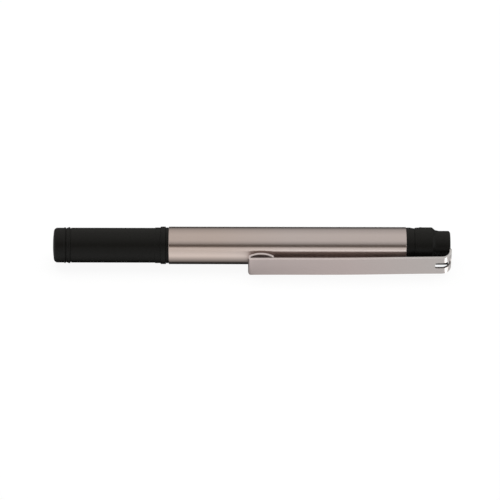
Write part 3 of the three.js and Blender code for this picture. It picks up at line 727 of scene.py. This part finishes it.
def clip_line():
    """The middle of the bent strip, from the hook's end to the pad's end: x, y, and its heading.

    It is walked in short steps. A straight step keeps the heading; a step on a bend of radius r that turns
    by t is a chord of length 2 r sin(t / 2) along the heading halfway through the turn. The blade then bows
    out by a sine squared of the share of it that is walked.
    """
    splay = math.atan((TIP_GAP - BLADE_GAP) / (CLIP_END - CLIP_START - BEND_R - SHEET))
    depth, end_gap = TIP_GAP - PAD_GAP, 0.1  # of the pad: under the blade, and from its end to the blade
    pad_start = math.acos((PAD_R + HEM_R - depth) / (PAD_R - HEM_R))
    pad_end = math.acos((SHEET / 2 + end_gap - depth + PAD_R) / (PAD_R - SHEET / 2))

    def straight(*stops):
        chords = np.abs(np.diff(stops))
        return chords, np.zeros(len(chords))

    def bend(radius, turns):
        return 2 * radius * np.sin(turns / 2), turns

    foot = np.array([0.03, 0.06, 0.12, 0.2, 0.3, 0.42])
    heights = np.concatenate([[BEND_FOOT], SLOT_FOOT + np.concatenate([[0], foot])])
    low_bend = np.diff(np.arccos(-(heights - BEND_FOOT) / BEND_R))
    high_bend = math.pi / 2 - splay - low_bend.sum()
    blade_start = LUG_MIDDLE - BEND_R + BEND_R * math.sin(splay)
    tip = SLOT_TIP + np.concatenate([[1.1, 0.8, 0.6], foot[::-1], [0]])
    blade_end = CLIP_START + HEM_R + SHEET / 2
    runs = [
        straight(*np.linspace(HOOK_START, LUG_MIDDLE - HOOK_R, 8)),
        bend(HOOK_R, np.full(10, math.pi / 20)),
        straight(
            HOOK_OUT + HOOK_R, 3.0, LUG_SHOULDER - 0.04, LUG_SHOULDER, *LUG_SHOULDER + foot, BEND_FOOT,
        ),
        bend(BEND_R, low_bend),
        bend(BEND_R, np.full(26, high_bend / 26)),
        straight(*np.linspace(blade_start, tip[0], 4) / math.cos(splay)),
        straight(*tip / math.cos(splay)),
        straight(*np.concatenate([[SLOT_TIP, SLOT_TIP - 0.1], np.linspace(SLOT_TIP - 1, blade_end, 52)])
                 / math.cos(splay)),
        bend(HEM_R, np.full(24, (math.pi - pad_start) / 24)),
        bend(PAD_R, np.full(30, (pad_start + pad_end) / 30)),
    ]
    chord, turn = (np.concatenate(parts) for parts in zip(*runs))
    heading = np.concatenate([[0], np.cumsum(turn)])
    halfway = heading[1:] - turn / 2
    x = HOOK_START + np.concatenate([[0], np.cumsum(chord * np.cos(halfway))])
    y = HOOK_OUT + np.concatenate([[0], np.cumsum(chord * np.sin(halfway))])
    on_blade = (y > BARREL_R + BLADE_GAP) & (x < blade_start) & (x > blade_end)
    share = (blade_start - x) / (blade_start - blade_end)
    return x, y + np.where(on_blade, BLADE_BOW * np.sin(math.pi * share) ** 2, 0), heading


def corner_rise(distance, fillet):
    """How far a round corner is short of full, a distance past the side it starts from: a circle's arc."""
    left = np.clip(fillet - distance, 0, fillet)
    return np.sqrt(fillet ** 2 - left ** 2) - fillet


def clip():
    """The bent strip: its flat outline carried along its middle line, h the heading there.

    A point v above the middle line and w across the strip goes to (x - v sin h, y + v cos h, w). Each half
    of the strip runs from the slot's edge, or the middle where there is no slot, to the outer edge, and
    its section is a rectangle with round corners.
    """
    x, y, heading = clip_line()
    walked = np.concatenate([[0], np.cumsum(np.hypot(np.diff(x), np.diff(y)))])
    on_root = (x > CLIP_END - 5) & (y < BEND_FOOT + 1)
    shoulder = CLIP_HALF + corner_rise(y - LUG_SHOULDER, SLOT_CORNER)
    outer = np.where(on_root & (y < LUG_SHOULDER - 0.01), HOOK_HALF, np.where(on_root, shoulder, CLIP_HALF))
    into_slot = np.minimum(x - SLOT_TIP, y - SLOT_FOOT)
    inner = np.where(into_slot > 0.01, SLOT_HALF + corner_rise(into_slot, SLOT_CORNER), 0)

    arc = np.linspace(0, math.pi / 2, 5)
    half, rim = SHEET / 2, CLIP_RIM
    inner_rim = np.minimum(rim, inner / 2)[:, None]
    outer, inner = outer[:, None], inner[:, None]
    between = np.array([0.03, 0.3, 0.6, 0.97])
    top = inner + inner_rim + (outer - rim - inner - inner_rim) * between
    flat = np.full_like(top, half)
    across = np.hstack([
        top,
        outer - rim + rim * np.sin(arc),
        outer - rim + rim * np.cos(arc),
        top[:, ::-1],
        inner + inner_rim - inner_rim * np.sin(arc),
        inner + inner_rim - inner_rim * np.cos(arc),
    ])
    above = np.hstack([
        flat,
        np.broadcast_to(half - rim + rim * np.cos(arc), (len(x), 5)),
        np.broadcast_to(-(half - rim + rim * np.sin(arc)), (len(x), 5)),
        -flat,
        -(half - inner_rim + inner_rim * np.cos(arc)),
        half - inner_rim + inner_rim * np.sin(arc),
    ])
    along = x[:, None] - above * np.sin(heading)[:, None]
    out = y[:, None] + above * np.cos(heading)[:, None]
    narrowed = 1 + corner_rise(along - CLIP_START, 0.45) / CLIP_HALF
    keep = np.ones((len(x) - 1, across.shape[1]), bool)
    wall = 2 * len(between) + 3 * len(arc) - 1  # the flat side of the slot, between its two rims
    shut = inner[:, 0] == 0
    keep[:, wall] = ~(shut[:-1] & shut[1:])
    whole = -60  # a place on the blade, where the strip has no slot
    section = np.stack([across[whole], above[whole]])
    ring = section[0, 0] + np.concatenate([[0], np.cumsum(np.hypot(*np.diff(section, axis=1)))])
    meshes = []
    for side in (1, -1):
        grid = np.stack([along, out, side * across * narrowed], -1)
        count = across.shape[1]
        last = (len(x) - 1) * count
        half_strip = surface(
            "clip_half", grid, CLIP_PLACE, columns_close=True,
            measure=(walked, side * np.append(ring, ring[-1] + 0.1)), keep=keep,
            ends=(range(count), range(last, last + count)),
        )
        meshes.append(half_strip.data)
        bpy.data.objects.remove(half_strip)
    return welded("pocket_clip", *meshes)


# The refill and the spring

TUBE_START, TUBE_END = span("refill_tube")
HOLDER_START, HOLDER_END = span("tip_holder")
POINT_START, POINT_END = span("refill_point")
REFILL_R = 1.5
REFILL_WALL = 0.2
REFILL_FIT = REFILL_R - REFILL_WALL - SEAM
SHANK_R = 0.9  # of the point, where it sits in its holder
POINT_R = 1.12  # of the root of its cone, and of the holder behind it


def refill_tube():
    """The refill's metal tube, with its edges turned in a little."""
    return turned("drawn_tube", [
        (TUBE_START, REFILL_R - REFILL_WALL, 0.03),
        (TUBE_START, REFILL_R, 0.1),
        (TUBE_END, REFILL_R, 0.1),
        (TUBE_END, REFILL_R - REFILL_WALL, 0.03),
    ], around=72)


def tip_holder():
    """The plastic holder between the point and the tube."""
    socket = SHANK_R + SEAM
    return turned("point_holder", [
        (HOLDER_START, socket, 0.03),
        (HOLDER_START, POINT_R, 0.06),
        (TUBE_START - 1, POINT_R, 0.1),
        (TUBE_START - 1, REFILL_R - 0.06, 0.2),
        (TUBE_START - SEAM, REFILL_R, 0.05),
        (TUBE_START - SEAM, REFILL_FIT, 0.04),
        (HOLDER_END, REFILL_FIT, 0.15),
        (HOLDER_END, 0.5, 0.08),
        (POINT_END + SEAM, 0.5, 0.05),
        (POINT_END + SEAM, socket, 0.04),
    ], around=72)


def refill_point():
    """The point: a slim cone with a step at its root, a rim spun in over the ball, and the ink's bore.

    Its socket is an arc of radius r about the ball's middle: (middle + r cos a, r sin a).
    """
    first, last = span("point_ball")
    middle, r = (first + last) / 2, (last - first) / 2 + SEAM
    rim = math.acos((POINT_START - middle) / r)
    angles = np.linspace(rim, math.asin(0.32 / r), 12)
    socket = np.stack([middle + r * np.cos(angles), r * np.sin(angles)], 1)
    cone_end = POINT_START + 4.6
    return turned("writing_point", [
        *socket.tolist(),
        (POINT_END, 0.32, 0.04),
        (POINT_END, SHANK_R, 0.1),
        (HOLDER_START - SEAM, SHANK_R, 0.03),
        (HOLDER_START - SEAM, POINT_R, 0.05),
        (cone_end, POINT_R, 0.3),
        (POINT_START + 0.25, 0.52, 0.15),
        (POINT_START, 0.43, 0.02),
    ], around=72)


def point_ball():
    """The ball: a half circle of radius r turned round the pen's axis, (middle - r cos a, r sin a)."""
    first, last = span("point_ball")
    middle, r = (first + last) / 2, (last - first) / 2
    angles = np.linspace(0, math.pi, 33)
    arc = np.stack([middle - r * np.cos(angles), r * np.sin(angles)], 1)
    return turned("rolling_ball", arc.tolist(), closed=False, around=64)


def rod(name, node, fillet):
    """A plain filling of the tube, with its ends rounded by the tube's wall."""
    first, last = span(node)
    low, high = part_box(node)
    r = (high.z - low.z) / 2 / MM
    corners = [(first, 0), (first, r, fillet), (last, r, fillet), (last, 0)]
    return turned(name, corners, closed=False, around=48)


def refill_end_plug():
    """The vented plug in the tube's back end."""
    first, last = span("refill_end_plug")
    return turned("refill_end", [
        (first, 0.35, 0.05),
        (first, REFILL_FIT, 0.25),
        (TUBE_END + SEAM, REFILL_FIT, 0.04),
        (TUBE_END + SEAM, REFILL_R, 0.05),
        (last, REFILL_R, 0.2),
        (last, 0.35, 0.05),
    ], around=72)


def cushion_spring():
    """Three curls of wire: a helix of radius r, at angle a (start + rise a, r cos a, r sin a)."""
    curls, wire, r = 3, 0.32, 1.45
    first, last = span("cushion_spring")
    angle = np.linspace(0, 2 * math.pi * curls, 60 * curls + 1)
    rise = (last - first - wire) / angle[-1]
    middle = np.stack([first + wire / 2 + rise * angle, r * np.cos(angle), r * np.sin(angle)], -1)
    return wound("coil_spring", middle, wire)


# The table, the light and the camera


TABLE_TOP = AXIS.z - BARREL_R * MM
TABLE_WHITE = 0.92  # how much of the table's white is its own to the camera, which keeps the shadow faint

# What the metal mirrors of the table, by the millimetres from the line that the barrel rests on: a painted
# # shadow of the pen, darkest close under it, and a painted brighter band a little further out.
TABLE_GLOW_PAINTED_SHADOW = {
    4.2: 0.02, 5.5: 0.31, 6.5: 0.49, 7.8: 0.66, 9: 0.8,
    10.8: 0.99, 13.4: 1.14, 17.4: 1.1, 24: 1.04, 38: 1.0,
}
CLIP_PAINTED_SHADE = 1.14  # how much darker that is in the painted shadow of the clip

# What it mirrors above the table, by the angle from the table in front, over the top, to the table behind.
# The camera looks in through the dark slit.
TENT_GLOW = {
    -5: 0.96, 22: 0.94, 30: 0.12, 41: 0.12, 47: 0.4, 53: 0.52,
    66: 0.76, 110: 0.8, 150: 0.6, 172: 0.3, 186: 0.15,
}
SLIT = (22, 30, 41, 47)  # the angles between which the slit comes, stays and goes
TENT_TINT = np.array([1, 0.985, 0.97])
SLIT_TINT = np.array([1, 0.85, 0.74])  # a room in warm light


def glowing(name, grid, glow):
    """A sheet round the pen that only the metal's mirroring sees. glow gives its colour at some places."""
    piece = surface(name, grid, Matrix.Identity(4))
    for kind in ("camera", "diffuse", "transmission", "volume_scatter", "shadow"):
        setattr(piece, "visible_" + kind, False)
    places = np.array([vertex.co for vertex in piece.data.vertices])
    colours = np.hstack([glow(places), np.ones((len(places), 1))])
    piece.data.attributes.new("glow", "FLOAT_COLOR", "POINT").data.foreach_set("color", colours.ravel())
    material, tree = blank(name + "_cloth")
    colour = add(tree, "ShaderNodeAttribute", attribute_name="glow").outputs["Color"]
    light = add(tree, "ShaderNodeEmission", {"Color": colour, "Strength": 1.0})
    add(tree, "ShaderNodeOutputMaterial", {"Surface": light.outputs[0]})
    piece.data.materials.append(material)


def light_tent():
    """The tent round the pen: a half cylinder (-r cos a, r sin a) that glows by its angle a."""
    r, half = 0.5, 0.9
    low, high = min(TENT_GLOW), max(TENT_GLOW)
    angle = np.radians(np.linspace(low, high, 160))
    ends = np.array([-half, half])
    grid = np.stack(np.broadcast_arrays(
        ends[:, None], AXIS.y - r * np.cos(angle)[None], AXIS.z + r * np.sin(angle)[None]), -1)

    def glow(places):
        angles = np.degrees(np.arctan2(places[:, 2] - AXIS.z, AXIS.y - places[:, 1]))
        angles = np.where(angles < low - 1, angles + 360, angles)
        in_slit = np.interp(angles, SLIT, (0, 1, 1, 0))[:, None]
        tint = in_slit * SLIT_TINT + (1 - in_slit) * TENT_TINT
        return tint * np.interp(angles, *zip(*TENT_GLOW.items()))[:, None]
    glowing("light_tent", grid, glow)


def card(name, x, y, z, strength, lean=0):
    """An even card, black to draw a dark line on the metal or bright to whiten it. y and z place its two
    sides from the barrel's foot, and the first side lies further along the pen by lean."""
    ends = np.array(x)[:, None] + [lean, 0]
    grid = np.stack(np.broadcast_arrays(
        ends * MM, AXIS.y + np.array(y)[None] * MM, TABLE_TOP + np.array(z)[None] * MM), -1)
    glowing(name, grid, lambda places: np.full((len(places), 3), float(strength)))


def table():
    """The white table that the pen lies on. The camera sees it nearly white and lightly shaded by the pen,
    and the metal mirrors it by its glow, which holds a painted shadow of the pen that fades out past its
    ends."""
    half, fade = 2000, 8
    low = CAP_END / MM
    high = low + TAIL_END
    clip_rows = low + CLIP_START + np.array([0, 2.1, 20, 40])
    ends = np.linspace(0, fade, 5)
    rows = np.concatenate([[-half], low - ends[::-1], clip_rows, high + ends, [half]])
    side = np.array([0, *TABLE_GLOW_PAINTED_SHADOW, half])
    columns = np.concatenate([-side[::-1], side[1:]])
    grid = np.stack(np.broadcast_arrays(
        rows[:, None] * MM, AXIS.y + columns[None] * MM, np.array(TABLE_TOP)), -1)
    piece = surface("table", grid, Matrix.Identity(4))
    places = np.array([vertex.co for vertex in piece.data.vertices]) / MM
    along, off = places[:, 0], places[:, 1] - AXIS.y / MM
    past = np.maximum(low - along, along - high).clip(0) / fade
    # Painted shadow of the pen in what the metal mirrors, by the distance from under the pen.
    shaded = 1 - np.interp(np.abs(off), *zip(*TABLE_GLOW_PAINTED_SHADOW.items()))
    glow = 1 - shaded * (1 - past.clip(0, 1))
    # Painted shadow of the clip on the table before it, lighter towards its bend.
    painted_clip_shadow_mask = (along > clip_rows[0] + 2) & (off < 0)
    least = np.interp(along, (clip_rows[0], clip_rows[2], high), (0.72, 0.868, 1.0))
    glow = np.where(painted_clip_shadow_mask, np.maximum(glow / CLIP_PAINTED_SHADE, least), glow)
    piece.data.attributes.new("glow", "FLOAT", "POINT").data.foreach_set("value", glow)
    material, tree = blank("white_table")
    paper = add(tree, "ShaderNodeBsdfDiffuse", {"Color": linear("#f4f4f3")})
    rays = add(tree, "ShaderNodeLightPath")
    mirrored = rays.outputs["Is Glossy Ray"]
    stored = add(tree, "ShaderNodeAttribute", attribute_name="glow").outputs["Fac"]
    strength = add(tree, "ShaderNodeMix", {0: mirrored, 2: 1.0, 3: stored}, data_type="FLOAT").outputs[0]
    white = add(tree, "ShaderNodeEmission", {"Color": (1, 1, 1, 1), "Strength": strength})
    seen = worked_out(tree, "MAXIMUM", rays.outputs["Is Camera Ray"], rays.outputs["Is Transmission Ray"])
    own = worked_out(tree, "MULTIPLY_ADD", seen, TABLE_WHITE, mirrored)
    mixed = add(tree, "ShaderNodeMixShader", {0: own, 1: paper.outputs[0], 2: white.outputs[0]})
    add(tree, "ShaderNodeOutputMaterial", {"Surface": mixed.outputs[0]})
    piece.data.materials.append(material)


def lamp(name, angle, distance, length, width, glow):
    """A soft rectangular lamp along the pen, at an angle above the table in front.

    Its power is pi times its area times its glow, so a glow of 1 is white.
    """
    data = bpy.data.lights.new(name, "AREA")
    data.shape, data.size, data.size_y = "RECTANGLE", length, width
    data.energy = math.pi * length * width * glow
    piece = in_scene(name, data)
    a = math.radians(angle)
    away = Vector((0, -math.cos(a), math.sin(a)))
    turn = away.to_track_quat("Z", "Y").to_matrix().to_4x4()
    piece.matrix_world = Matrix.Translation(AXIS + away * distance) @ turn
    piece.visible_glossy = False


def camera():
    """A long lens that looks down on the pen at 38 degrees, square to its length."""
    scale = 3.755  # pixels of the photograph to a millimetre
    frame_width, lens, sensor = 500 / scale * MM, 300, 36
    elevation, roll = math.radians(38), math.radians(0.125)  # the pen lies a hair off level in it
    back = Vector((0, -math.cos(elevation), math.sin(elevation)))
    up = Vector((0, math.sin(elevation), math.cos(elevation)))
    middle_x, below = -0.559 * MM, 1.2 * MM  # where its middle lies: along the pen, and below the axis
    aim = Vector((middle_x, AXIS.y, AXIS.z)) - up * below
    data = bpy.data.cameras.new("camera")
    data.lens, data.sensor_width = lens, sensor
    data.clip_start, data.clip_end = 0.05, 10
    piece = in_scene("camera", data)
    turn = back.to_track_quat("Z", "Y").to_matrix().to_4x4() @ Matrix.Rotation(roll, 4, "Z")
    piece.matrix_world = Matrix.Translation(aim + back * frame_width * lens / sensor) @ turn
    bpy.context.scene.camera = piece


def surroundings():
    """Even white all round for what the camera and the metal see, and a dim fill for all else."""
    world = bpy.data.worlds.new("studio")
    bpy.context.scene.world = world
    world.use_nodes = True
    tree = world.node_tree
    tree.nodes.clear()
    rays = add(tree, "ShaderNodeLightPath")
    outright = worked_out(tree, "MAXIMUM", rays.outputs["Is Camera Ray"], rays.outputs["Is Glossy Ray"])
    seen = worked_out(tree, "MAXIMUM", outright, rays.outputs["Is Transmission Ray"])
    strength = add(tree, "ShaderNodeMapRange", {"Value": seen, "To Min": 0.3, "To Max": 1.0})
    sky = add(tree, "ShaderNodeBackground", {"Color": (1, 1, 1, 1), "Strength": strength.outputs[0]})
    add(tree, "ShaderNodeOutputWorld", {"Surface": sky.outputs[0]})


# Putting it together


SKINS = {
    "satin_steel": satin_steel(),
    "clip_steel": clip_steel(),
    "black_plastic": black_abs(),
    "black_rubber": black_rubber(),
    "soft_plastic": pale_plastic("moulded_polyethylene", ("#d6d3c9", "#dfdcd3"), (0.5, 0.62), 0.3),
    "white_plastic": pale_plastic("moulded_polypropylene", ("#e2e0d9", "#eae8e1"), (0.38, 0.48), 0.2),
    # Brass shows only past a parted pen: warm yellow, with the tool's feed rings on it.
    "brass": turned_metal("turned_brass", ("#c3a055", "#cdab60"), (0.24, 0.32), 0.1),
    # Nickel silver is a copper alloy as pale as steel, but a touch warmer.
    "nickel_silver": turned_metal("turned_nickel_silver", ("#c4bfb2", "#cdc8bc"), (0.18, 0.26), 0.06),
    # Tungsten carbide is a dark grey metal-like ceramic, lapped to a mirror.
    "ball_metal": plain_metal("lapped_carbide", ("#8b8d93", "#93959b"), (0.08, 0.12)),
    # Music wire, drawn bright and tin-grey.
    "spring_steel": plain_metal("drawn_spring_wire", ("#969696", "#a3a3a2"), (0.25, 0.34)),
    "ink": thick_fluid("paste_ink", ("#0a0a10", "#0e0e15"), 1.48, 0.6),
    "grease": thick_fluid("follower_grease", ("#cbc4a2", "#d3ccac"), 1.47, 0.4),
}


def dress(piece, node, body, slot):
    """Gives a piece its material, hides the node that it stands for, and lets it move with its body."""
    piece.data.materials.clear()
    piece.data.materials.append(SKINS[slot])
    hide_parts(node)
    if body:
        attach(piece, body)


def pen():
    """Every piece of the pen, in its place."""
    dress(cap_end_plug(), "cap_end_plug", "cap", "black_plastic")
    dress(cap_tube(), "cap_shell", "cap", "black_plastic")
    dress(cap_liner(), "cap_liner", "cap", "soft_plastic")
    dress(section_core(), "section_core", "front_section", "black_plastic")
    dress(grip_sleeve(), "grip_sleeve", "front_section", "black_rubber")
    dress(nose_cone(), "nose_cone", "front_section", "satin_steel")
    for name, node in (("cap_ring", "cap_friction_ring"), ("seal_ring", "thread_seal_ring")):
        dress(rubber_ring(name, node), node, "front_section", "black_rubber")
    dress(barrel_tube(), "barrel_tube", "barrel", "satin_steel")
    dress(barrel_insert(), "barrel_insert", "barrel", "brass")
    dress(rear_bushing(), "rear_bushing", "barrel", "black_plastic")
    dress(tail_plug(), "tail_plug", "barrel", "black_plastic")
    dress(refill_tube(), "refill_tube", "refill", "brass")
    dress(tip_holder(), "tip_holder", "refill", "white_plastic")
    dress(refill_point(), "refill_point", "refill", "nickel_silver")
    dress(point_ball(), "point_ball", "ball", "ball_metal")
    dress(rod("ink", "ink_column", 0.2), "ink_column", "refill", "ink")
    dress(rod("follower", "ink_follower", 0.3), "ink_follower", "refill", "grease")
    dress(refill_end_plug(), "refill_end_plug", "refill", "soft_plastic")
    dress(cushion_spring(), "cushion_spring", "barrel", "spring_steel")

    strip = clip()
    dress(strip, "clip", None, "clip_steel")
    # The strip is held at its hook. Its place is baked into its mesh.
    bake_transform(strip)


bpy.context.scene.view_settings.view_transform = "Standard"
pen()
table()
light_tent()
card("black_card", x=(-90, 90), y=(22, 22), z=(0, 12), strength=0.1)
card("bright_card", x=(51.4, 54.6), y=(-12, -5.6), z=(0.1, 0.1), strength=3.5, lean=3.6)
card("low_card", x=(-1, 48), y=(-25, -25), z=(8.6, 10.9), strength=1.4)
lamp("roof_lamp", angle=112, distance=0.6, length=1.1, width=0.55, glow=3.2)
lamp("front_lamp", angle=40, distance=0.9, length=0.9, width=0.4, glow=0.6)
surroundings()
camera()
